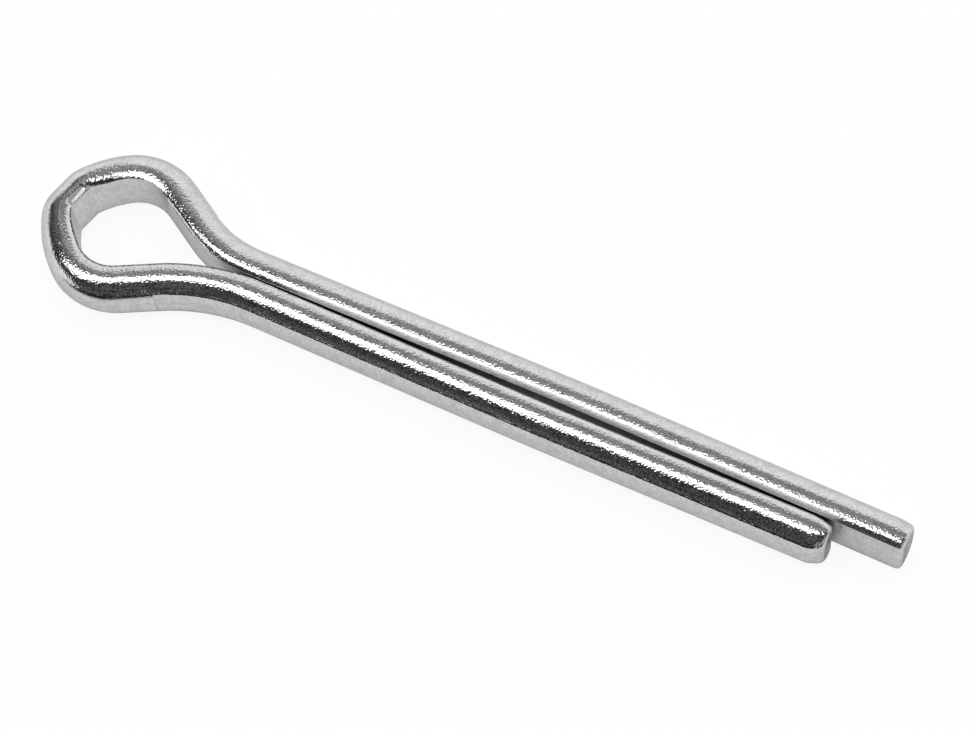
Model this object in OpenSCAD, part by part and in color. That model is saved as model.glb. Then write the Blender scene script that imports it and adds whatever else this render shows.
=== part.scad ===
// Split cotter pin, bent from one length of half-round wire.
// The wire's flat sides face each other along the two legs and line the inside of the eye.
// X runs along the shank from the eye to the tips, Y crosses from the short leg to the long
// one, and Z is the pin's thickness as it lies on its side. The origin is on the shank's
// centre line, where the short leg starts to flare into the eye.

/* [Wire] */
// Thickness of the wire, from its flat side to the crown of its round side
wire_t = 2.75; // [2.6:0.01:3]
// Radius of the two round shoulders
shoulder_r = 1.79; // [1.7:0.01:1.95]
// Height of the straight land at the crown, between the two shoulders
crown_land = 0.9; // [0.5:0.05:1.4]
// Radius of the corners where the shoulders meet the flat side
corner_r = 0.65; // [0.4:0.05:0.8]

/* [Legs] */
// Length of the short leg, from the start of its flare to its tip
short_leg = 47.7; // [30:0.1:90]
// Length by which the long leg passes the short one
tail = 5.3; // [2:0.05:8]
// Gap between the flat sides at the crotch and at the tips
leg_gap = 0.05; // [0.04:0.01:0.4]
// Slope of each half of the short leg, which bows outward
short_bow = 0.34; // [0.05:0.01:0.8]
// Slope of each half of the long leg, which bows outward
long_bow = 0.52; // [0.05:0.01:0.8]
// Radius of the gentle bend in the middle of each leg
bow_r = 400; // [150:50:600]

/* [Eye, short-leg side] */
// Radius of the flat side where the short leg flares out
short_flare_r = 17.7; // [14:0.1:21]
// Angle of that flare
short_flare = 28.2; // [25:0.1:32]
// Length of the straight flank after the flare
short_flank = 3; // [2:0.1:3.4]
// Radius of the flat side where the flank turns round the back of the eye
short_turn_r = 3.1; // [2.6:0.05:3.4]
// Angle of that turn
short_turn = 69.9; // [66:0.1:76]

/* [Eye, back] */
// Radius of the flat side along the back of the eye
back_r = 7.65; // [7:0.05:9]
// Angle of the back
back = 24.6; // [22:0.1:28]
// Angle of the crease at the lower end of the facet
lower_crease = 37.6; // [33:0.1:40]
// Length of the facet that the bending tool left
facet = 1.8; // [1.3:0.05:2.1]
// Angle of the crease at the upper end of the facet
upper_crease = 21.7; // [18:0.1:24]
// Radius of the flat side in the two creases
crease_r = 0.25; // [0.15:0.05:0.5]

/* [Eye, long-leg side] */
// Radius of the flat side over the crown of the eye
crown_r = 7.5; // [7:0.05:8.4]
// Angle of the crown
crown = 22; // [19:0.1:25]
// Radius of the flat side where the crown turns down to the long leg
long_turn_r = 3.1; // [2.7:0.05:3.5]
// Radius of the flat side where the long leg flares out
long_flare_r = 12.2; // [10:0.1:14]
// Angle of that flare
long_flare = 30.7; // [28:0.1:34]

/* [Closing die] */
// Depth by which the die squeezed the legs and the flares, on the outside, above and below
press = 0.04; // [0.03:0.01:0.15]
// Length by which the die's mark passes the flare on the short-leg side
press_reach = 0.5; // [0.2:0.1:1]

/* [Tips] */
// Radius of the rounded rim at the short leg's tip
short_tip_r = 0.7; // [0.3:0.05:0.8]
// Radius of the rounded rim at the long leg's tip
long_tip_r = 0.5; // [0.2:0.05:0.7]
// Length of the hammered slope on the outside of each tip
slope_len = 1.2; // [0.8:0.1:2]
// Depth of that slope at the short leg's tip
short_slope = 0.48; // [0.1:0.02:0.6]
// Depth of that slope at the long leg's tip
long_slope = 0.16; // [0.06:0.02:0.3]

/* [Hidden] */
$fn = 96;

// Every second stretch of wire is this much fuller, and each starts this much early, so
// that neighbours sink into each other and fuse as one body.
nest = 0.01;
lap = 0.03;

// Length by which a cut runs past what it cuts.
past = 1;

// Length by which the arc of a rounded corner swells past its neighbours where it meets
// them, so that it crosses them instead of only touching them.
swell = 0.001;

half_h = crown_land / 2 + shoulder_r;
corner_to_shoulder = shoulder_r - corner_r;

// The wire is walked from the short leg's tip, round the eye, to the long leg's tip.
// A move is [size, turn, pressed]. With no turn, size is the length of a straight stretch.
// With a turn in degrees, anticlockwise positive, it is the radius of the wire's flat side.
// The round side stays on the left of the way walked.
STRAIGHT = 0;
PRESSED = true;
ROUND = false;

function step(move, heading) =
    move[1] == STRAIGHT
        ? move[0] * [cos(heading), sin(heading)]
        : sign(move[1]) * move[0] * [
            sin(heading + move[1]) - sin(heading),
            cos(heading) - cos(heading + move[1])
        ];

function travel(moves, heading, i = 0) =
    i == len(moves)
        ? [0, 0]
        : step(moves[i], heading) + travel(moves, heading + moves[i][1], i + 1);

function leg(length, bow) =
    let (half = (length / 2 - bow_r * sin(bow)) / cos(bow)) [
        [half, STRAIGHT, PRESSED],
        [bow_r, -2 * bow, PRESSED],
        [half, STRAIGHT, PRESSED]
    ];

long_turn = 180 + short_flare + long_flare
    - short_turn - back - lower_crease - upper_crease - crown;

// The eye, from the end of the short leg to the flank that comes down to the long leg.
eye = [
    [short_flare_r, short_flare + short_bow, PRESSED],
    [press_reach, STRAIGHT, PRESSED],
    [short_flank - press_reach, STRAIGHT, ROUND],
    [short_turn_r, -short_turn, ROUND],
    [back_r, -back, ROUND],
    [crease_r, -lower_crease, ROUND],
    [facet, STRAIGHT, ROUND],
    [crease_r, -upper_crease, ROUND],
    [crown_r, -crown, ROUND],
    [long_turn_r, -long_turn, ROUND]
];
long_flare_move = [long_flare_r, long_flare + long_bow, PRESSED];

// That flank is as long as it takes to bring the wire back to the shank, and the long leg
// is as long as it takes to pass the short one by the tail.
eye_end = [0, -leg_gap / 2] + travel(eye, 180 - short_bow);
flare_travel = step(long_flare_move, -long_flare);
long_flank = (eye_end[1] + flare_travel[1] - leg_gap / 2) / sin(long_flare);
long_leg_x = eye_end[0] + long_flank * cos(long_flare) + flare_travel[0];
long_leg = short_leg + tail - long_leg_x;

whole_wire = concat(
    leg(short_leg, short_bow),
    eye,
    [[long_flank, STRAIGHT, ROUND], long_flare_move],
    leg(long_leg, long_bow)
);

// Sliver outside the rounded corner, between the flat side and the upper shoulder, whose
// centre is shoulder_y away from the flat side and half the land above the middle.
module corner_sliver(shoulder_y, land, grow) {
    r = corner_r + grow + swell;
    beside = corner_r - shoulder_y;
    above = sqrt(corner_to_shoulder * corner_to_shoulder - beside * beside);
    along_shoulder = [beside, above] / corner_to_shoulder;
    translate([corner_r, land / 2 + above])
        difference() {
            polygon(3 * r * [[0, 0], along_shoulder, along_shoulder + [-1, 0], [-1, 0]]);
            circle(r);
        }
}

// The wire's section: flat side on the Y axis, round side towards +X, grown all round.
module section(pressed, grow) {
    squeeze = pressed ? press : 0;
    thickness = wire_t - squeeze;
    shoulder_y = thickness - shoulder_r;
    land = crown_land - 2 * squeeze;
    tall = half_h + grow + past;
    difference() {
        intersection() {
            union() {
                for (side = [-1, 1])
                    translate([shoulder_y, side * land / 2]) circle(shoulder_r + grow);
                translate([-grow, -land / 2]) square([thickness + 2 * grow, land]);
            }
            translate([-grow, -tall]) square([thickness + 2 * grow, 2 * tall]);
        }
        corner_sliver(shoulder_y, land, grow);
        mirror([0, 1]) corner_sliver(shoulder_y, land, grow);
    }
}

// One move, from the origin along +X, with the round side towards +Y. It starts a little
// early, by lap, inside the stretch before it.
module stretch(move, grow, lap) {
    size = move[0];
    turn = move[1];
    early = turn == STRAIGHT ? 0 : lap / size * 180 / PI;
    if (turn == STRAIGHT)
        translate([-lap, 0, 0]) rotate([90, 0, 90])
            linear_extrude(size + lap) section(move[2], grow);
    else if (turn < 0)
        translate([0, -size, 0]) rotate([0, 0, 90 + turn])
            rotate_extrude(angle = early - turn)
                translate([size, 0]) section(move[2], grow);
    else
        translate([0, size, 0]) rotate([0, 0, -90 - early])
            rotate_extrude(angle = early + turn)
                translate([size, 0]) mirror([1, 0]) section(move[2], grow);
}

module after(move) {
    side = sign(move[1]) * move[0];
    if (move[1] == STRAIGHT)
        translate([move[0], 0, 0]) children();
    else
        translate([0, side, 0]) rotate([0, 0, move[1]]) translate([0, -side, 0]) children();
}

module wire(moves, i = 0) {
    if (i < len(moves)) {
        stretch(moves[i], i % 2 * nest, i == 0 ? 0 : lap);
        after(moves[i]) wire(moves, i + 1);
    }
}

// Outside of a rounded rim of the given radius, with the rim's corner at (0, edge).
module rim_corner(rim, edge)
    translate([-rim, edge - rim]) difference() {
        square(rim + past);
        circle(rim);
    }

// What is cut from a tip, with the tip at the origin, the leg behind it along -X and its
// round side towards +Y: a rounded rim and a shallow slope on the outside. It stops in the
// gap, short of the other leg.
module tip_cut(rim, slope) {
    out = wire_t - press;
    translate([0, 0, -half_h - past]) linear_extrude(2 * (half_h + past)) {
        rim_corner(rim, out - slope);
        polygon([
            [-slope_len, out], [0, out - slope], [past, out - slope],
            [past, out + past], [-slope_len, out + past]
        ]);
    }
    for (face = [0, 1])
        mirror([0, 0, face]) translate([0, out + past, 0]) rotate([90, 0, 0])
            linear_extrude(out + past + leg_gap / 2) rim_corner(rim, half_h - press);
}

module cotter_pin() {
    color("silver")
        difference() {
            translate([short_leg, -leg_gap / 2, 0])
                rotate([0, 0, 180 + short_bow]) wire(whole_wire);
            translate([short_leg, -leg_gap / 2, 0])
                rotate([0, 0, short_bow]) mirror([0, 1, 0]) tip_cut(short_tip_r, short_slope);
            translate([short_leg + tail, leg_gap / 2, 0])
                rotate([0, 0, -long_bow]) tip_cut(long_tip_r, long_slope);
        }
}

cotter_pin();
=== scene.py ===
# %% [markdown]
# # A split cotter pin in bright zinc
# A cotter pin is one length of half-round steel wire, folded round an eye so that its two
# flat sides meet. This lesson sweeps that wire along its path, plates it, and lights it.
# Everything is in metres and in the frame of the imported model, which is loaded first.

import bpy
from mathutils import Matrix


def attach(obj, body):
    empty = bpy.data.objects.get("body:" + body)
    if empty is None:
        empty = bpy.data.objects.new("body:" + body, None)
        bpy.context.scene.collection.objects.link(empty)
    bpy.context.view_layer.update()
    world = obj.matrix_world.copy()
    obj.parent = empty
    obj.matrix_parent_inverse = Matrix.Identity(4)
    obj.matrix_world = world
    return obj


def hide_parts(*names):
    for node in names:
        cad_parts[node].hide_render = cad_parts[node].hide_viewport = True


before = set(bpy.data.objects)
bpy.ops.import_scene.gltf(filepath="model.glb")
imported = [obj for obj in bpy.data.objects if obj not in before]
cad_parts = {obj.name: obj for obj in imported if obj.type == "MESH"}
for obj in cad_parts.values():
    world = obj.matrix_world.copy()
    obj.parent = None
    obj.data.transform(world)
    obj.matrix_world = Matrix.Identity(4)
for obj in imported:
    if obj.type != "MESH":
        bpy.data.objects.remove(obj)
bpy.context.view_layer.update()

# %% Tools that the cells below use
from collections import namedtuple
from math import cos, sin, tan, sqrt, radians, degrees, atan2

import bmesh
import bpy
from mathutils import Matrix, Vector, noise

MM = 0.001

# %% [markdown]
# ## The wire's path
# A forming tool bends the wire in the plane, so its path is a chain of straights and arcs.
# A curve object could follow it, but a bend tool's creases and the die's marks have to sit
# at exact places along the wire. So the path is walked in plain numbers, the way the wire
# was bent: a length and a turn at a time, with lengths in millimetres and turns in degrees.
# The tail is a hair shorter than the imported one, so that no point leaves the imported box.

# %% Sizes of the bent wire
WIRE_T = 2.75
SHORT_LEG = 47.7
TAIL = 5.298
LEG_GAP = 0.05
SHORT_BOW = 0.34
LONG_BOW = 0.52
BOW_R = 400
SHORT_FLARE = 28.2
LONG_FLARE = 30.7
STRAIGHT = 0
PRESSED = 1.0
ROUND = 0.0


# %% Walk a chain of moves
def step(size, turn, heading):
    """The travel of one move, as x and y. A turn of 0 is a straight of that size."""
    if turn == STRAIGHT:
        return Vector((size * cos(radians(heading)), size * sin(radians(heading))))
    a, b = radians(heading), radians(heading + turn)
    side = 1 if turn > 0 else -1
    return side * size * Vector((sin(b) - sin(a), cos(a) - cos(b)))


def travel(moves, heading):
    """The travel of a whole chain of moves."""
    total = Vector((0, 0))
    for size, turn, _ in moves:
        total += step(size, turn, heading)
        heading += turn
    return total


def leg(length, bow):
    """A leg that bows outward: two straights with a very gentle bend between them."""
    half = (length / 2 - BOW_R * sin(radians(bow))) / cos(radians(bow))
    return [
        (half, STRAIGHT, PRESSED),
        (BOW_R, -2 * bow, PRESSED),
        (half, STRAIGHT, PRESSED),
    ]


# %% [markdown]
# ## The eye
# The eye isn't a circle. The wire leaves the short leg, flares out, turns tightly, runs up
# a flatter back, meets two creases with a short facet between them, goes over the crown
# and comes down a straight flank to the long leg. The last flank's length isn't chosen: it
# is whatever brings the wire back to the shank's centre line.

# %% Sizes of the eye
SHORT_FLARE_R = 17.7
PRESS_REACH = 0.5
SHORT_FLANK = 3.0
SHORT_TURN_R = 3.1
SHORT_TURN = 69.9
BACK_R = 7.65
BACK = 24.6
CREASE_R = 0.25
LOWER_CREASE = 37.6
FACET = 1.8
UPPER_CREASE = 21.7
CROWN_R = 7.5
CROWN = 22.0
LONG_TURN_R = 3.1
LONG_FLARE_R = 12.2

# %% The eye's moves and the closing flank
long_turn = (180 + SHORT_FLARE + LONG_FLARE
             - SHORT_TURN - BACK - LOWER_CREASE - UPPER_CREASE - CROWN)
eye = [
    (SHORT_FLARE_R, SHORT_FLARE + SHORT_BOW, PRESSED),
    (PRESS_REACH, STRAIGHT, PRESSED),
    (SHORT_FLANK - PRESS_REACH, STRAIGHT, ROUND),
    (SHORT_TURN_R, -SHORT_TURN, ROUND),
    (BACK_R, -BACK, ROUND),
    (CREASE_R, -LOWER_CREASE, ROUND),
    (FACET, STRAIGHT, ROUND),
    (CREASE_R, -UPPER_CREASE, ROUND),
    (CROWN_R, -CROWN, ROUND),
    (LONG_TURN_R, -long_turn, ROUND),
]
long_flare = (LONG_FLARE_R, LONG_FLARE + LONG_BOW, PRESSED)

eye_end = Vector((0, -LEG_GAP / 2)) + travel(eye, 180 - SHORT_BOW)
flare_travel = step(long_flare[0], long_flare[1], -LONG_FLARE)
flank = (eye_end.y + flare_travel.y - LEG_GAP / 2) / sin(radians(LONG_FLARE))
long_leg_x = eye_end.x + flank * cos(radians(LONG_FLARE)) + flare_travel.x
wire_moves = (
    leg(SHORT_LEG, SHORT_BOW)
    + eye
    + [(flank, STRAIGHT, ROUND), long_flare]
    + leg(SHORT_LEG + TAIL - long_leg_x, LONG_BOW)
)
print("flank %.2f mm, last turn %.1f degrees" % (flank, long_turn))

# %% [markdown]
# ## Stations along the wire
# The wire's section is set on the path at many stations, about a fifth of a millimetre
# apart where the outside of the bend is longest. The facet in the eye has finer ones. That
# is fine enough for a smooth highlight and still under 200,000 triangles for the piece.

# %% Stations
SPACING = 0.2
FINE_SPACING = 0.09
FEWEST_STEPS = 2
FACET_MOVE = 9
BACK_MOVE = FACET_MOVE - 2
LONG_TURN_MOVE = FACET_MOVE + 3
LONG_FLARE_MOVE = FACET_MOVE + 5

Station = namedtuple("Station", "place heading pressed move along")


def stations():
    """Stations with their place, heading in degrees, whether the die pressed them, the
    number of their move and the distance along the wire."""
    found = []
    place, heading, along = Vector((SHORT_LEG, -LEG_GAP / 2)), 180 + SHORT_BOW, 0.0
    for number, (size, turn, pressed) in enumerate(wire_moves):
        length = size if turn == STRAIGHT else size * radians(abs(turn))
        outside = length if turn >= 0 else (size + WIRE_T) * radians(-turn)
        fine = abs(number - FACET_MOVE) <= 1
        count = max(FEWEST_STEPS, int(outside / (FINE_SPACING if fine else SPACING)) + 1)
        for i in range(count):
            part = i / count
            if i == 0:
                moved = Vector((0, 0))
            elif turn == STRAIGHT:
                moved = step(size * part, STRAIGHT, heading)
            else:
                moved = step(size, turn * part, heading)
            found.append(Station(place + moved, heading + turn * part, pressed,
                                 number, along + length * part))
        place = place + step(size, turn, heading)
        heading += turn
        along += length
    found.append(Station(place, heading, PRESSED, len(wire_moves) - 1, along))
    return found


walk = stations()
WIRE_LENGTH = walk[-1].along
print("%d stations along %.1f mm of wire" % (len(walk), WIRE_LENGTH))

# %% [markdown]
# Extra stations are needed where the shape changes within a fraction of a millimetre: at the
# tips, where the rim turns from the side to the end, and at the two marks where the closing
# die's grip ends.

# %% Add stations at the tips and at the die's marks
NEAR_MARK_BACK = 0.43
BESIDE_MARK = (-0.15, -0.08, -0.05, -0.025, 0, 0.025, 0.05, 0.08, 0.15)
BESIDE_TIP = (0.004, 0.018, 0.045, 0.085, 0.14, 0.26, 0.32)
CLOSEST = 0.003


def at_distance(along):
    """A station at this distance along the wire, between two known ones."""
    for before, after in zip(walk, walk[1:]):
        if before.along <= along <= after.along:
            part = (along - before.along) / max(after.along - before.along, 1e-9)
            return Station(before.place.lerp(after.place, part),
                           before.heading + part * (after.heading - before.heading),
                           before.pressed, before.move, along)
    return walk[-1]


marks = [b.along for a, b in zip(walk, walk[1:]) if a.pressed != b.pressed]
marks[0] -= NEAR_MARK_BACK
extra = [at_distance(mark + offset) for mark in marks for offset in BESIDE_MARK]
extra += [at_distance(left) for left in BESIDE_TIP]
extra += [at_distance(WIRE_LENGTH - left) for left in BESIDE_TIP]
walk = sorted(walk + extra, key=lambda s: s.along)
walk = walk[:1] + [s for before, s in zip(walk, walk[1:]) if s.along - before.along > CLOSEST]


def ends_of(move):
    """Distances along the wire of a move's first and last stations."""
    distances = [s.along for s in walk if s.move == move]
    return min(distances), max(distances)


facet_start, facet_end = ends_of(FACET_MOVE)
print("die marks at %s mm, facet from %.2f to %.2f mm"
      % ([round(m, 2) for m in marks], facet_start, facet_end))

# %% [markdown]
# ## The section
# The wire is rolled half-round: a flat side that ends in two crisp edges, rounded corners
# above and below it, two round shoulders and a nearly flat crown. Only a half is worked
# out at a time. Each point remembers which way the surface faces there, as an angle from
# straight outward (0) over straight up (90) to the flat side (180), because the grain and
# the die's marks follow that angle.

# %% The half-round section
SHOULDER_R = 1.79
CROWN_LAND = 0.9
CORNER_R = 0.8
EDGE_AT = 148
EDGE_R = 0.07
HALF_H = CROWN_LAND / 2 + SHOULDER_R
SHOULDER_OUT = WIRE_T - SHOULDER_R
CORNER_OUT = -CORNER_R * cos(radians(EDGE_AT))
CORNER_RISE = sqrt((SHOULDER_R - CORNER_R) ** 2 - (CORNER_OUT - SHOULDER_OUT) ** 2)
CORNER_UP = CROWN_LAND / 2 + CORNER_RISE
MEET_AT = degrees(atan2(CORNER_RISE, CORNER_OUT - SHOULDER_OUT))
EDGE_UP = CORNER_UP + CORNER_R * sin(radians(EDGE_AT))
FLAT_STEPS = (0, 0.35, 0.7, 0.93)
UPPER = {"edge": 5, "corner": 11, "steps": [96, 90, 84, 78, 72, 66, 61, 56, 52, 49, 46, 44, 42,
         40, 39, 38, 37, 36, 35, 34, 33, 32, 31, 30, 28, 25, 21, 16, 11, 6, 0]}
LOWER = {"edge": 3, "corner": 5, "steps": [92, 80, 68, 56, 44, 32, 20, 10, 0]}


def half_section(detail):
    """Points of one half, from the middle of the flat side to the crown's middle, as
    (outward, up, the angle that the surface faces)."""
    tangent = EDGE_R * tan(radians(180 - EDGE_AT) / 2)
    points = [(0.0, EDGE_UP * f, 180) for f in FLAT_STEPS]
    for i in range(detail["edge"]):
        a = 180 + (EDGE_AT - 180) * i / (detail["edge"] - 1)
        points.append((EDGE_R * (1 + cos(radians(a))),
                       EDGE_UP - tangent + EDGE_R * sin(radians(a)), a))
    for i in range(1, detail["corner"] + 1):
        a = EDGE_AT + (MEET_AT - EDGE_AT) * i / detail["corner"]
        points.append((CORNER_OUT + CORNER_R * cos(radians(a)),
                       CORNER_UP + CORNER_R * sin(radians(a)), a))
    for a in detail["steps"]:
        points.append((SHOULDER_OUT + SHOULDER_R * cos(radians(a)),
                       CROWN_LAND / 2 + SHOULDER_R * sin(radians(a)), a))
    points.append((WIRE_T, 0.0, 0))
    return points


upper_half, lower_half = half_section(UPPER), half_section(LOWER)
SECTION = upper_half + [(out, -up, face) for out, up, face in lower_half[-2:0:-1]]
print("section: %d points, %.2f mm high" % (len(SECTION), 2 * HALF_H))

# %% [markdown]
# ## The closing die's grip
# A die closes the legs and irons their outside. It squeezes the wall in by a few hundredths
# of a millimetre up to a crisp edge, and raises a hair-thin ridge just above that edge.
# Where its grip ends, in the eye, it leaves a small step across the wall.

# %% Depth pressed in by the die
PRESS = 0.04
DIE_EDGE = 26.0
DIE_EDGE_WIDTH = 4.0
RIDGE_AT = 36.0
RIDGE_HALF = 2.4
RIDGE_HEIGHT = 0.018
RIDGE_BREAKS = 0.6
RIDGE_PATTERN = (11, 4)
RIDGE_SPAN = (-0.25, 0.25)
STEP_HALF = 0.04
NOTCH = 0.09
NOTCH_HALF = 0.04
NOTCH_TOP = (24, 33)


def smooth(low, high, value):
    """0 below low, 1 above high and an easy curve between them."""
    f = min(max((value - low) / (high - low), 0), 1)
    return f * f * (3 - 2 * f)


def grip(along):
    """1 where the die gripped the wire and 0 in the eye."""
    return 1 - smooth(marks[0] - STEP_HALF, marks[0] + STEP_HALF, along) \
        + smooth(marks[1] - STEP_HALF, marks[1] + STEP_HALF, along)


def die_depth(face, along):
    """How far the die pressed the surface in, with its ridge and the nick at its marks. The
    ridge comes and goes along the wire."""
    half = DIE_EDGE_WIDTH / 2
    wall = PRESS * (1 - smooth(DIE_EDGE - half, DIE_EDGE + half, face))
    broken = smooth(*RIDGE_SPAN, noise.noise(Vector((along * RIDGE_BREAKS, *RIDGE_PATTERN))))
    ridge = RIDGE_HEIGHT * broken * max(0, 1 - abs(face - RIDGE_AT) / RIDGE_HALF)
    beside = min(abs(along - mark) for mark in marks)
    notch = NOTCH * max(0, 1 - beside / NOTCH_HALF) * (1 - smooth(*NOTCH_TOP, face))
    return grip(along) * (wall - ridge) + notch


# %% [markdown]
# ## The facet's edge
# Inside the eye, between the two creases, the facet's wall leans back a little towards its
# upper edge. The bending tool's edge scored the upper corner there: a narrow flat strip,
# nearly level, that rises from the lower crease to the upper one. It catches the light as
# one bright line.

# %% The scored strip on the facet
STRIP_INNER = 0.07
STRIP_OUTER = 0.40
STRIP_Z = 1.86
STRIP_RISE = 0.2
STRIP_TILT = 0.05
STRIP_INNER_SOFT = 0.05
STRIP_OUTER_SOFT = 0.08
STRIP_ENDS = (-0.1, 0.08, -0.12, -0.02)
LEAN = 0.22
LEAN_BEFORE = 3.2
LEAN_AFTER = 1.6
LEAN_UP = (-1.7, 1.9)
LEAN_OUT = (0.5, 1.5)


def leaning(out, up, along):
    """How far the facet's wall leans outward at a point: nothing at its lower edge, most at
    its upper one, fading over the back of the eye."""
    here = smooth(facet_start - LEAN_BEFORE, facet_start, along) \
        * (1 - smooth(facet_end, facet_end + LEAN_AFTER, along))
    return LEAN * here * smooth(*LEAN_UP, up) * (1 - smooth(*LEAN_OUT, out))


def scored(out, up, along):
    """The height of a point of the upper corner, after the tool's edge has scored it."""
    middle = (facet_start + facet_end) / 2
    first, full, fading, last = STRIP_ENDS
    here = smooth(facet_start + first, facet_start + full, along) \
        * (1 - smooth(facet_end + fading, facet_end + last, along))
    if here == 0 or up < 0:
        return up
    flat = STRIP_Z + STRIP_RISE * (along - middle) + STRIP_TILT * (out - STRIP_INNER)
    across = smooth(STRIP_INNER - STRIP_INNER_SOFT, STRIP_INNER, out) \
        * (1 - smooth(STRIP_OUTER, STRIP_OUTER + STRIP_OUTER_SOFT, out))
    return up + (flat - up) * across * here


# %% [markdown]
# ## The filled corner
# Over the crown of the eye the wire's inside is squeezed as it bends, and that fills the
# upper corner: a flatter arc leaves the shoulder near its top and ends in a crisp edge. The
# corner along the long leg is a little fuller too. The section's points are moved onto the
# new outline, by a share that changes along the wire.

# %% Move the upper corner's points
FULL_R = 2.2
FULL_EDGE_TILT = 26.0
FULL_EDGE_R = 0.07
FULL_AT_START = 0.35
FULL_ON_LONG_LEG = 0.36
FULL_STARTS = (facet_end, facet_end + 0.5)
FULL_RISES = (facet_end + 1.0, facet_end + 3.4)
crown_end = ends_of(LONG_TURN_MOVE)[1]
FULL_ENDS = (crown_end - 1.0, crown_end + 2.0)
flare_start = ends_of(LONG_FLARE_MOVE)[0]
LEG_STARTS = (flare_start, flare_start + 4.0)
LEG_ENDS = (WIRE_LENGTH - 6.0, WIRE_LENGTH - 2.5)
LEAVE_AT = UPPER["steps"][0]
LEAVE_TILT = LEAVE_AT - 90


def fullness(along):
    """How far the corner is filled: partly at the facet's end, fully over the crown's
    middle, not at all past the crown's far end, and partly again along the long leg."""
    rising = FULL_AT_START + (1 - FULL_AT_START) * smooth(*FULL_RISES, along)
    over_crown = rising * smooth(*FULL_STARTS, along) * (1 - smooth(*FULL_ENDS, along))
    on_leg = FULL_ON_LONG_LEG * smooth(*LEG_STARTS, along) * (1 - smooth(*LEG_ENDS, along))
    return over_crown + on_leg


def full_arc(tilt):
    """The flatter arc's point where the surface tilts this far inward, in degrees."""
    leave, here = radians(LEAVE_TILT), radians(tilt)
    return (SHOULDER_OUT - SHOULDER_R * sin(leave) + FULL_R * (sin(leave) - sin(here)),
            CROWN_LAND / 2 + SHOULDER_R * cos(leave) - FULL_R * (cos(leave) - cos(here)))


EDGE_CENTRE_UP = full_arc(FULL_EDGE_TILT)[1] - FULL_EDGE_R * cos(radians(FULL_EDGE_TILT))
FLAT_TOP = max(up for _, up, face in SECTION if face == 180)


def full_place(out, up, face):
    """Where a point of the upper corner or the flat side lies when the corner is full."""
    if face <= EDGE_AT:
        part = (face - LEAVE_AT) / (EDGE_AT - LEAVE_AT)
        return full_arc(LEAVE_TILT + part * (FULL_EDGE_TILT - LEAVE_TILT))
    if out == 0 and up < FLAT_TOP:
        return 0.0, up / FLAT_TOP * EDGE_CENTRE_UP
    part = (face - EDGE_AT) / (180 - EDGE_AT)
    tilt = radians(FULL_EDGE_TILT + part * (90 - FULL_EDGE_TILT))
    return FULL_EDGE_R * (1 - sin(tilt)), EDGE_CENTRE_UP + FULL_EDGE_R * cos(tilt)


def filled(out, up, face, along):
    """A point of the section, moved towards its place in a full corner."""
    share = fullness(along)
    if share == 0 or up <= 0 or face <= LEAVE_AT:
        return out, up
    new_out, new_up = full_place(out, up, face)
    return out + (new_out - out) * share, up + (new_up - up) * share


print("corner filled from %.2f to %.2f mm, and along the long leg" % (facet_end, FULL_ENDS[1]))

# %% [markdown]
# ## The sheared tips
# The wire is cut off by a shear and then tumbled, so each tip has a rounded rim, and the
# outside slopes in over the last millimetre or so. The short tip's flat side is drawn
# away from the long leg as well. Each of these is an inset that grows towards the end.

# %% How far each side moves in near a tip
TIPS = {
    "short": {"rim": 0.27, "slope": 0.6, "slope_len": 1.4, "flat": 0.34, "flat_len": 1.9},
    "long": {"rim": 0.32, "slope": 0.2, "slope_len": 1.2, "flat": 0.06, "flat_len": 0.8},
}
SLOPE_POWER = 1.6
FLAT_POWER = 2
SIDE_SHARE = 0.1


def rim_inset(rim, left):
    """Inset of a rounded rim at this distance from the end."""
    if left >= rim:
        return 0.0
    return rim - sqrt(max(rim ** 2 - (rim - left) ** 2, 0))


def tip_insets(tip, left):
    """Insets of the flat side, the outside and the upper and lower sides."""
    rim = rim_inset(tip["rim"], left)
    slope = tip["slope"] * max(0, 1 - left / tip["slope_len"]) ** SLOPE_POWER
    flat = tip["flat"] * max(0, 1 - left / tip["flat_len"]) ** FLAT_POWER
    return rim + flat, rim + slope, rim + SIDE_SHARE * slope


# %% [markdown]
# ## Sweep the section along the path
# At each station the outward direction is to the left of the way walked, so the section's
# (outward, up) becomes a point in space. A little unevenness is pressed into the
# surface: shallow waves a few millimetres long, which make the reflections wander.

# %% Rings of points
WAVE_DEPTH = 0.008
LONG_WAVES = 0.45
SHORT_WAVES = 1.3
SHORT_SHARE = 0.3
SHORT_PATTERN = Vector((7, 3, 1))
ACROSS_WAVES = 3


def wave(spot):
    """Depth of the wire's slight unevenness at a spot, from 0 to WAVE_DEPTH."""
    value = noise.noise(spot * LONG_WAVES) * (1 - SHORT_SHARE) \
        + noise.noise(spot * SHORT_WAVES + SHORT_PATTERN) * SHORT_SHARE
    return WAVE_DEPTH * min(max(0.5 - 0.5 * value, 0), 1)


def ring(place, heading, along, tip, left):
    """The section's points at one station, in millimetres."""
    outward = Vector((-sin(radians(heading)), cos(radians(heading))))
    flat_in, out_in, side_in = tip_insets(tip, left)
    points = []
    for out, up, face in SECTION:
        depth = wave(Vector((along, ACROSS_WAVES * out, ACROSS_WAVES * up)))
        inward = depth + die_depth(face, along)
        lean = leaning(out, up, along)
        up = scored(out, up, along)
        out, up = filled(out, up, face, along)
        share = out / WIRE_T
        out += lean - inward * cos(radians(face))
        up -= depth * sin(radians(face)) * (1 if up > 0 else -1)
        out += flat_in * (1 - share) - out_in * share
        up *= 1 - side_in / HALF_H
        spot = place + outward * out
        points.append(Vector((spot.x, spot.y, up)))
    return points


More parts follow.
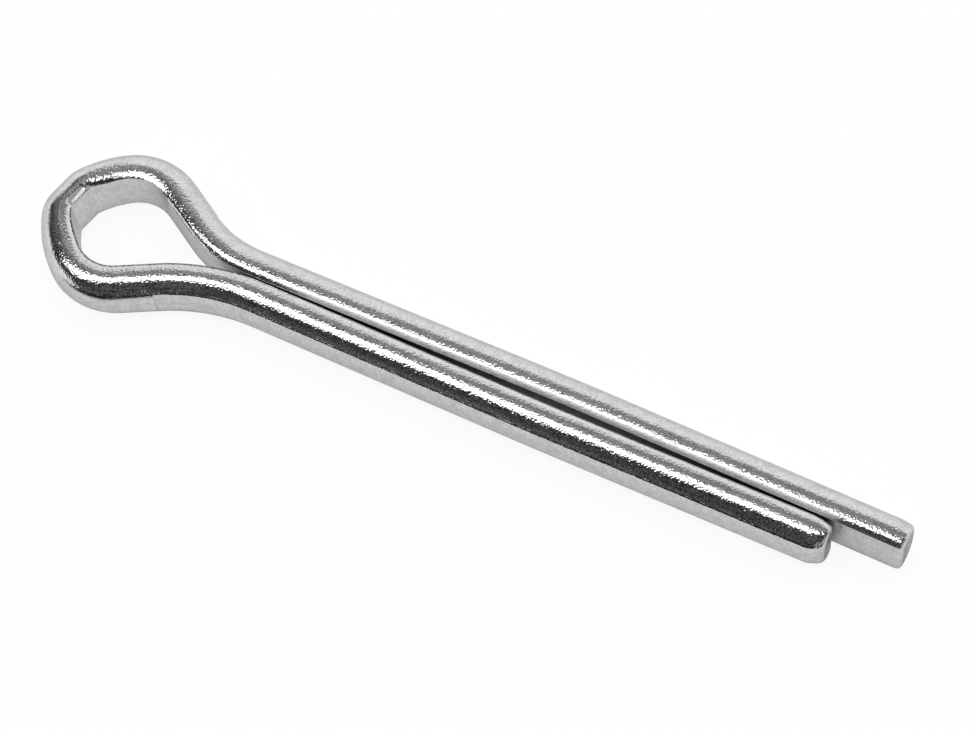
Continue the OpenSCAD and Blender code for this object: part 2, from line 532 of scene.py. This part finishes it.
rings = []
for station in walk:
    tip, left = TIPS["short"], station.along
    if station.along >= WIRE_LENGTH / 2:
        tip, left = TIPS["long"], WIRE_LENGTH - station.along
    rings.append(ring(station.place, station.heading, station.along, tip, left))
print("%d rings of %d points" % (len(rings), len(rings[0])))

# %% [markdown]
# ## What the finish needs to know
# Each point carries four values for the finish: how grainy it is, how dull it was rubbed
# (a value that also holds a paler tint painted on as light on the back of the eye's flat side),
# whether it is on a cut face, and where it is along and around the wire. The grain is full
# on the rounded upper and lower sides and weak on the walls. The outside of the eye's back
# and crown is stretched, which smooths it. The legs rub each other's corners dull.

# %% Grain and dullness at a point
LEAST_GRAIN = 0.08
WALL_FACE = (22, 32)
FLAT_FACE = (150, 176)
FLAT_LOSS = 0.85
STRETCHED = 0.6
STRETCHED_FACE = (70, 88)
STRETCH_RISE = 2
STRETCH_FADE = 1
STRIP_MARGIN = 0.1
back_start = ends_of(BACK_MOVE)[0]
RUB_ENDS = (2.0, 49.5)
RUB_FADE = 3
SHORT_LEG_RUB = 0.55
RUB_FACE = (101, 124, 160, 176)
DULL_AND_PAINTED_BACK_LENGTH = 3.0
DULL_AND_PAINTED_BACK_FADE = 0.2


def grain_of(out, up, face, along):
    """How strongly the surface shows the grain, from LEAST_GRAIN to 1."""
    beside_strip = facet_start - STRIP_MARGIN < along < facet_end + STRIP_MARGIN
    if beside_strip and up > 0 and out < STRIP_OUTER + STRIP_MARGIN:
        return LEAST_GRAIN
    stretched = STRETCHED * smooth(back_start, back_start + STRETCH_RISE, along) \
        * (1 - smooth(crown_end - STRETCH_FADE, crown_end + STRETCH_FADE, along)) \
        * (1 - smooth(*STRETCHED_FACE, face))
    rounded = smooth(*WALL_FACE, face) * (1 - FLAT_LOSS * smooth(*FLAT_FACE, face))
    return LEAST_GRAIN + (1 - LEAST_GRAIN) * rounded * (1 - stretched)


def rub_of(face, x, y):
    """How far the corner was scuffed by the other leg: the long leg's most."""
    first, last = RUB_ENDS
    on_leg = smooth(first - RUB_FADE, first + RUB_FADE, x) * (1 - smooth(last - RUB_FADE, last, x))
    low, full, fading, high = RUB_FACE
    return on_leg * (1 if y > 0 else SHORT_LEG_RUB) \
        * smooth(low, full, face) * (1 - smooth(fading, high, face))


def dull_and_painted_light_of(face, along):
    """How dull the flat side is on the back of the eye, just before the facet. The same value
    paints a paler tint there, as painted light.
    """
    start = facet_start - DULL_AND_PAINTED_BACK_LENGTH
    return smooth(*FLAT_FACE, face) * smooth(start, start + DULL_AND_PAINTED_BACK_LENGTH / 2, along) \
        * (1 - smooth(facet_start - DULL_AND_PAINTED_BACK_FADE, facet_start, along))


# %% [markdown]
# ## One closed mesh
# The rings are bridged with quads, and each end is closed with smaller and smaller rings
# that stop in one point, so the cut face can carry a slight roughness of its own.

# %% Rings that close the ends
CUT_ROUGH = 0.03
CUT_ROUGHNESS_SCALE = 1.7
CUT_PATTERN = Vector((0, 0, 5))
CAP_SCALES = (0.93, 0.8, 0.62, 0.42, 0.2)


def cap_rings(last):
    """Rings that close an end, each smaller than the one before, and their centre."""
    centre = sum(last, Vector()) / len(last)
    made = []
    for scale in CAP_SCALES:
        made.append([centre + (p - centre) * scale for p in last])
    for points in made:
        for p in points:
            grit = noise.noise(p * CUT_ROUGHNESS_SCALE + CUT_PATTERN)
            p.x -= CUT_ROUGH * (0.5 + 0.5 * grit)
    return made, centre


around, total = [], 0.0
for i, (out, up, _) in enumerate(SECTION):
    if i:
        total += sqrt((out - SECTION[i - 1][0]) ** 2 + (up - SECTION[i - 1][1]) ** 2)
    around.append(total)

start_caps, start_centre = cap_rings(rings[0])
end_caps, end_centre = cap_rings(rings[-1])
plan = [(r, 1.0, 0.0) for r in reversed(start_caps)]
plan += [(r, 0.0, station.along) for r, station in zip(rings, walk)]
plan += [(r, 1.0, WIRE_LENGTH) for r in end_caps]
print("%d rings with the ends" % len(plan))

# %% Bridge the rings
pin_mesh = bpy.data.meshes.new("bent_wire")
maker = bmesh.new()
grain_layer = maker.verts.layers.float.new("grain")
rub_and_painted_light_layer = maker.verts.layers.float.new("rub_and_painted_light")
cut_layer = maker.verts.layers.float.new("cut")
track_layer = maker.verts.layers.float_vector.new("track")

bands = []
for points, cut, along in plan:
    band = []
    for p, (out, up, face), way_round in zip(points, SECTION, around):
        v = maker.verts.new(p * MM)
        v[grain_layer] = grain_of(out, up, face, along)
        # This value holds the legs' rubbed corners and the painted light on the back of the eye's
        # flat side.
        v[rub_and_painted_light_layer] = max(rub_of(face, p.x, p.y), dull_and_painted_light_of(face, along))
        v[cut_layer] = cut
        v[track_layer] = (along, way_round, 0.0)
        band.append(v)
    bands.append(band)
for a, b in zip(bands, bands[1:]):
    for i in range(len(a)):
        j = (i + 1) % len(a)
        maker.faces.new((a[i], a[j], b[j], b[i]))

# %% Close the ends and finish the mesh
for band, centre, flip in ((bands[0], start_centre, True), (bands[-1], end_centre, False)):
    middle = maker.verts.new(centre * MM)
    middle[cut_layer] = 1.0
    for i in range(len(band)):
        j = (i + 1) % len(band)
        maker.faces.new((band[j], band[i], middle) if flip else (band[i], band[j], middle))
bmesh.ops.recalc_face_normals(maker, faces=maker.faces)
maker.to_mesh(pin_mesh)
maker.free()
pin = bpy.data.objects.new("bent_wire", pin_mesh)
bpy.context.scene.collection.objects.link(pin)
pin_mesh.shade_smooth()
print("mesh: %d faces, %d triangles"
      % (len(pin_mesh.polygons), sum(len(f.vertices) - 2 for f in pin_mesh.polygons)))

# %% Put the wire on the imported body
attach(pin, "root")
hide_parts("cotter_pin")


# %% [markdown]
# ## The finish
# Zinc plating over drawn wire is bright but not a mirror. Its surface has a fine grain, like
# orange peel, about a sixth of a millimetre across, and the die irons the outside smooth
# again. One metallic shader does it: noise drives a bump that is strong where the grain
# attribute is high, and slower noise varies the colour and the roughness.

# %% Small helpers for node trees
def node(tree, kind, inputs=(), **settings):
    """Adds a node, sets its settings, and sets or links its inputs by name or number."""
    made = tree.nodes.new(kind)
    for key, value in settings.items():
        setattr(made, key, value)
    for key, value in dict(inputs).items():
        if hasattr(value, "links"):
            tree.links.new(value, made.inputs[key])
        else:
            made.inputs[key].default_value = value
    return made


def span(tree, value, low, high, to_low, to_high):
    """Maps a value from one range to another, held inside the new one."""
    return node(tree, "ShaderNodeMapRange", {
        "Value": value, "From Min": low, "From Max": high, "To Min": to_low, "To Max": to_high,
    }).outputs["Result"]


def blend_of(tree, kind, a, b):
    """The result of a sum, a product or another simple operation on two values."""
    return node(tree, "ShaderNodeMath", {0: a, 1: b}, operation=kind).outputs[0]


def new_material(name):
    """A material with an empty node tree, and that tree."""
    made = bpy.data.materials.new(name)
    made.use_nodes = True
    made.node_tree.nodes.clear()
    return made, made.node_tree


# %% Values and noises that the zinc uses
PEEL_SCALE = 6600.0
PIT_SCALE = 5200.0
MOTTLE_SCALE = 4200.0
CLOUD_SCALE = 1100.0
STREAK_STRETCH = (0.4, 9.0, 1.0)

zinc, tree = new_material("bright_zinc")
spot = node(tree, "ShaderNodeTexCoord").outputs["Object"]
grain, rub_and_painted_light, cut = (node(tree, "ShaderNodeAttribute", attribute_name=name).outputs["Fac"]
                   for name in ("grain", "rub_and_painted_light", "cut"))
track = node(tree, "ShaderNodeAttribute", attribute_name="track").outputs["Vector"]

peel = node(tree, "ShaderNodeTexNoise", {
    "Vector": spot, "Scale": PEEL_SCALE, "Detail": 0.0,
}).outputs["Fac"]
clouds = node(tree, "ShaderNodeTexNoise", {
    "Vector": spot, "Scale": CLOUD_SCALE, "Detail": 4.0, "Roughness": 0.65,
}).outputs["Fac"]
long_ways = node(tree, "ShaderNodeVectorMath", {0: track, 1: STREAK_STRETCH},
                 operation="MULTIPLY").outputs[0]
streaks = node(tree, "ShaderNodeTexNoise", {
    "Vector": long_ways, "Scale": 1.0, "Detail": 2.0, "Roughness": 0.6,
}).outputs["Fac"]

pit = node(tree, "ShaderNodeTexVoronoi", {
    "Vector": spot, "Scale": PIT_SCALE,
}, feature="SMOOTH_F1").outputs["Distance"]
mottle = node(tree, "ShaderNodeTexNoise", {
    "Vector": spot, "Scale": MOTTLE_SCALE, "Detail": 3.0, "Roughness": 0.7,
}).outputs["Fac"]
print("zinc: %d nodes so far" % len(tree.nodes))

# %% [markdown]
# The heights are in millimetres. The grain is a peel of soft bumps with small pits in it, and
# it is scaled by the grain attribute. Clouds and long streaks lie under it everywhere.

# %% The zinc's bump
PEEL_DEPTH = 0.0125
PIT_DEPTH = 0.008
PIT_SPAN = (0.1, 0.45)
CLOUD_DEPTH = 0.004
STREAK_DEPTH = 0.0008

rough_skin = blend_of(tree, "SUBTRACT", blend_of(tree, "MULTIPLY", peel, PEEL_DEPTH),
                      span(tree, pit, *PIT_SPAN, PIT_DEPTH, 0.0))
height = blend_of(tree, "MULTIPLY", grain, rough_skin)
height = blend_of(tree, "ADD", height, blend_of(tree, "MULTIPLY", clouds, CLOUD_DEPTH))
height = blend_of(tree, "ADD", height, blend_of(tree, "MULTIPLY", streaks, STREAK_DEPTH))
bump = node(tree, "ShaderNodeBump", {
    "Strength": 1.0, "Distance": MM, "Height": height,
}).outputs["Normal"]

# %% [markdown]
# The colour wanders between two greys in patches. Rubbed places are paler, and the cut faces
# darker; the flat side on the back of the eye is painted paler as painted light. The grainy
# parts are the shiniest, and the ironed, rubbed and cut ones duller.

# %% The zinc's colour and shine
DARK_GREY = (0.565, 0.565, 0.565, 1.0)
PALE_GREY = (0.805, 0.805, 0.805, 1.0)
PATCH_SPAN = (0.38, 0.62)
CLOUD_SHARE = 0.4
MOTTLE_SHARE = 0.6
PALER_FOR_RUB_AND_PAINTED_LIGHT = 1.2
CUT_DARKER = 1.1
IRONED_SHINE = 0.20
GRAINY_SHINE = 0.04
SHINE_GRAIN = (0.1, 0.9)
CLOUD_SPAN = (0.35, 0.65)
CLOUD_DULLER = 0.06
RUB_DULLER = 0.42
CUT_DULLER = 0.15
EDGE_TINT = (0.75, 0.75, 0.75, 1.0)

patches = blend_of(tree, "ADD", span(tree, clouds, *PATCH_SPAN, 0.0, CLOUD_SHARE),
                   span(tree, mottle, *PATCH_SPAN, 0.0, MOTTLE_SHARE))
# Paler where the corners are rubbed, and painted paler as light on the back of the eye's flat
# side.
wear_and_painted_light = blend_of(tree, "SUBTRACT", blend_of(tree, "MULTIPLY", rub_and_painted_light, PALER_FOR_RUB_AND_PAINTED_LIGHT),
                  blend_of(tree, "MULTIPLY", cut, CUT_DARKER))
tint = node(tree, "ShaderNodeMix", {
    0: blend_of(tree, "ADD", patches, wear_and_painted_light), 6: DARK_GREY, 7: PALE_GREY,
}, data_type="RGBA", clamp_factor=False).outputs[2]
shine = span(tree, grain, *SHINE_GRAIN, IRONED_SHINE, GRAINY_SHINE)
shine = blend_of(tree, "ADD", shine, span(tree, clouds, *CLOUD_SPAN, 0.0, CLOUD_DULLER))
shine = blend_of(tree, "ADD", shine, blend_of(tree, "MULTIPLY", rub_and_painted_light, RUB_DULLER))
shine = blend_of(tree, "ADD", shine, blend_of(tree, "MULTIPLY", cut, CUT_DULLER))
metal = node(tree, "ShaderNodeBsdfPrincipled", {
    "Base Color": tint, "Metallic": 1.0, "Roughness": shine, "Normal": bump,
    "Specular Tint": EDGE_TINT,
})
node(tree, "ShaderNodeOutputMaterial", {"Surface": metal.outputs["BSDF"]})
pin_mesh.materials.append(zinc)
print("zinc: %d nodes" % len(tree.nodes))

# %% [markdown]
# ## The table and the light
# Bright metal shows its surroundings, so the surroundings are the lighting. The pin lies on
# a white table inside a dome of white paper. Part of the dome is covered with grey and black
# cloth, which gives the metal its dark lines, and a softbox hangs nearly overhead.

# %% The white table
FLOOR_Z = -HALF_H * MM
TABLE_HALF = 3


def stage_mesh(name, points, faces):
    """A mesh that belongs to the stage, not to the pin."""
    mesh = bpy.data.meshes.new(name)
    mesh.from_pydata(points, [], faces)
    made = bpy.data.objects.new(name, mesh)
    bpy.context.scene.collection.objects.link(made)
    return made


def glow_of(tree, strength):
    """A white light of this strength, given off by a surface."""
    return node(tree, "ShaderNodeEmission", {
        "Color": (1, 1, 1, 1), "Strength": strength,
    }).outputs[0]


table = stage_mesh("table", [
    (x * TABLE_HALF, y * TABLE_HALF, FLOOR_Z) for x, y in ((-1, -1), (1, -1), (1, 1), (-1, 1))
], [(0, 1, 2, 3)])
print("table at %.2f mm" % (FLOOR_Z / MM))

# %% [markdown]
# The table's paper has three jobs. It takes light like white paper, it shows plain white to
# the camera with only a faint shadow, and it looks bright in the metal's reflections except
# close beside the wire, where an ambient occlusion node paints shade into that glow.

# %% The table's paper
TABLE_WHITE = 0.5
MIRROR_GLOW = 0.46
PICTURE_SHARE = 0.13
PICTURE_WHITE = 1.03
PAINTED_SHADE_REACH = 0.0007

paper, tree = new_material("table_paper")
path = node(tree, "ShaderNodeLightPath").outputs
camera_ray = path["Is Camera Ray"]
whiteness = span(tree, camera_ray, 0.0, 1.0, TABLE_WHITE, PICTURE_SHARE)
lit_colour = node(tree, "ShaderNodeCombineColor", {
    "Red": whiteness, "Green": whiteness, "Blue": whiteness,
}).outputs[0]
lit = node(tree, "ShaderNodeBsdfDiffuse", {"Color": lit_colour}).outputs[0]
mirrored = blend_of(tree, "MAXIMUM", path["Is Glossy Ray"], path["Is Transmission Ray"])
mirrored = blend_of(tree, "MULTIPLY", mirrored, span(tree, camera_ray, 0.0, 1.0, 1.0, 0.0))
# Painted shade: the glow that the metal sees fades by ambient occlusion close beside the wire.
painted_shade_ao = node(tree, "ShaderNodeAmbientOcclusion", {"Distance": PAINTED_SHADE_REACH},
                samples=4).outputs["AO"]
mirror_glow_with_painted_shade = blend_of(tree, "MULTIPLY", mirrored,
                       blend_of(tree, "MULTIPLY", painted_shade_ao, MIRROR_GLOW))
for_camera = blend_of(tree, "MULTIPLY", camera_ray, PICTURE_WHITE - PICTURE_SHARE)
plain = glow_of(tree, blend_of(tree, "ADD", for_camera, mirror_glow_with_painted_shade))
both = node(tree, "ShaderNodeAddShader", {0: lit, 1: plain}).outputs[0]
node(tree, "ShaderNodeOutputMaterial", {"Surface": both})
table.data.materials.append(paper)

# %% [markdown]
# A place on the dome is given in degrees from straight overhead, so (0, 50) is 50 degrees
# from overhead on the side where Y points. The cloths are outlines in those degrees, each
# with a grey level and a soft edge.

# %% The dome and its cloths
DOME_R = 1.4
DOME_STEP = 2
WHITE_PAPER = 0.95
FOLDS = 0.2
FOLD_SIZE = 5
FOLD_SPAN = (-0.05, 0.4)
FOLD_PATTERN = 3
CLOTHS = [
    ("black", 0.02, 4, [(-78, 0), (-70, 16), (-60, 24), (-45, 10), (-30, 8), (48, 10), (50, -5),
                        (40, -35), (34, -55), (38, -95), (-36, -95), (-38, -84), (-50, -53),
                        (-61, -38), (-72, -22)]),
    ("light grey", 0.45, 6, [(48, 25), (95, 25), (95, -95), (38, -95), (34, -55), (40, -35),
                             (50, -5)]),
    ("dark grey", 0.16, 9, [(-22, 4), (-22, 24), (-42, 43), (-65, 24), (-55, 11), (-35, 4)]),
    ("grey", 0.27, 13, [(-24, 6), (-22, 33), (-8, 43), (10, 46), (45, 46), (45, 12), (-6, 10)]),
]


def edge_distance(x, y, outline):
    """Distance to an outline in degrees, positive inside it."""
    nearest, inside = 1e9, False
    for (ax, ay), (bx, by) in zip(outline, outline[1:] + outline[:1]):
        dx, dy = bx - ax, by - ay
        f = min(max(((x - ax) * dx + (y - ay) * dy) / (dx * dx + dy * dy), 0), 1)
        nearest = min(nearest, sqrt((x - ax - f * dx) ** 2 + (y - ay - f * dy) ** 2))
        if (ay > y) != (by > y) and x < ax + (y - ay) / dy * dx:
            inside = not inside
    return nearest if inside else -nearest


def dome_level(x, y):
    """How bright the dome is at a place. The black cloth has faint folds."""
    level = WHITE_PAPER
    for name, grey, soft, outline in CLOTHS:
        if name == "black":
            fold = noise.noise(Vector((x, y, FOLD_PATTERN)) / FOLD_SIZE)
            grey += FOLDS * smooth(*FOLD_SPAN, fold)
        level += (grey - level) * smooth(-soft / 2, soft / 2, edge_distance(x, y, outline))
    return level


# %% Build the dome
def sky(x, y):
    """The direction of a place on the dome."""
    down, way_round = radians(sqrt(x * x + y * y)), atan2(y, x)
    return Vector((sin(down) * cos(way_round), sin(down) * sin(way_round), cos(down)))


points, levels, faces = [], [], []
rows = 90 // DOME_STEP
columns = 360 // DOME_STEP
for row in range(rows + 1):
    for column in range(columns):
        down, way_round = row * DOME_STEP, radians(column * DOME_STEP)
        x, y = down * cos(way_round), down * sin(way_round)
        points.append(DOME_R * sky(x, y))
        levels.append(dome_level(x, y))
for row in range(rows):
    for column in range(columns):
        beside = (column + 1) % columns
        a, b = row * columns, (row + 1) * columns
        faces.append((a + column, b + column, b + beside, a + beside))
dome = stage_mesh("paper_dome", points, faces)
tone = dome.data.attributes.new("tone", "FLOAT", "POINT")
for i, level in enumerate(levels):
    tone.data[i].value = level

dome_paper, tree = new_material("dome_paper")
tone_seen = node(tree, "ShaderNodeAttribute", attribute_name="tone").outputs["Fac"]
to_camera = node(tree, "ShaderNodeLightPath").outputs["Is Camera Ray"]
glow = glow_of(tree, blend_of(tree, "MAXIMUM", tone_seen, to_camera))
node(tree, "ShaderNodeOutputMaterial", {"Surface": glow})
dome_paper.cycles.emission_sampling = "NONE"
dome.data.materials.append(dome_paper)
print("dome: %d places, from %.2f to %.2f" % (len(levels), min(levels), max(levels)))

# %% [markdown]
# The softbox hangs inside the dome, and its outline is given in the same degrees. Each of its
# corners was moved until the white line that it makes on the wire ran where it should.

# %% The softbox
BOX_AWAY = 1.0
BOX_LEVEL = 2.2
BOX_CORNERS = [(-46, -20), (-31, -2), (-19, -1), (-11, 2), (-8, 5), (-4, 3.5), (11, -14),
               (-8, -21), (-14, -26.5), (-19, -30), (-33, -33)]
softbox = stage_mesh("softbox", [sky(x, y) * BOX_AWAY for x, y in BOX_CORNERS],
                     [tuple(range(len(BOX_CORNERS)))])
silk, tree = new_material("softbox_silk")
node(tree, "ShaderNodeOutputMaterial", {"Surface": glow_of(tree, BOX_LEVEL)})
softbox.data.materials.append(silk)
softbox.visible_camera = False

# %% [markdown]
# The dome and the softbox alone leave the table a little dull, so a large fill lamp brings
# it up to a plain level. It is hidden from the metal's reflections.

# %% The fill lamp
FILL_POWER = 6.0
FILL_SIZE = 1.2
FILL_PLACE = (0.02, 0.1, 1.2)
fill_light = bpy.data.lights.new("fill", "AREA")
fill_light.shape = "SQUARE"
fill_light.size = FILL_SIZE
fill_light.energy = FILL_POWER
fill = bpy.data.objects.new("fill", fill_light)
fill.location = FILL_PLACE
bpy.context.scene.collection.objects.link(fill)
fill.visible_glossy = False
fill.visible_camera = False

# %% [markdown]
# A black card lies on the table on the near side, where only the metal sees it. Its long edge
# follows the pin, so the dark line at the foot of the wire keeps one width.

# %% The black card
CARD_EDGE = [(0.4, -0.009), (0.042, -0.0112), (0.018, -0.0152), (-0.004, -0.0155),
             (-0.008, -0.0138), (-0.024, -0.0138)]
CARD_LIFT = 0.0002
CARD_REACH = 1.2
card_outline = [(-0.4 * CARD_REACH, -CARD_REACH), (CARD_REACH, -CARD_REACH),
                (CARD_REACH, CARD_EDGE[0][1])] + CARD_EDGE
card = stage_mesh("black_card", [(x, y, FLOOR_Z + CARD_LIFT) for x, y in card_outline],
                  [tuple(range(len(card_outline)))])
black, tree = new_material("black_cloth")
dull = node(tree, "ShaderNodeBsdfDiffuse", {"Color": (0.03, 0.03, 0.03, 1.0)}).outputs[0]
node(tree, "ShaderNodeOutputMaterial", {"Surface": dull})
card.data.materials.append(black)
card.visible_camera = False
card.visible_shadow = False
card.visible_diffuse = False

# %% The room
ROOM_LEVEL = 0.5
room = bpy.data.worlds.new("room")
bpy.context.scene.world = room
room.use_nodes = True
background = room.node_tree.nodes["Background"].inputs
background["Color"].default_value = (1, 1, 1, 1)
background["Strength"].default_value = ROOM_LEVEL

# %% [markdown]
# ## The camera
# The camera looks down on the pin from beyond its tips, with a long lens, so the shank runs
# across the picture with little perspective. Its roll tilts the shank a little further.

# %% The camera
CAMERA = Vector((0.078927, -0.092191, 0.220270))
AIM = Vector((0.018334, 0.001587, 0.0))
ROLL = radians(-7.144)
SENSOR_WIDTH = 36.0
FOCAL_LENGTH = 120.0
CLIP = (0.01, 20)
lens = bpy.data.cameras.new("camera")
lens.sensor_width = SENSOR_WIDTH
lens.lens = FOCAL_LENGTH
lens.clip_start, lens.clip_end = CLIP
camera = bpy.data.objects.new("camera", lens)
bpy.context.scene.collection.objects.link(camera)
facing = (AIM - CAMERA).to_track_quat("-Z", "Y").to_matrix() @ Matrix.Rotation(ROLL, 3, "Z")
camera.matrix_world = Matrix.Translation(CAMERA) @ facing.to_4x4()
bpy.context.scene.camera = camera
bpy.context.scene.view_settings.view_transform = "Standard"
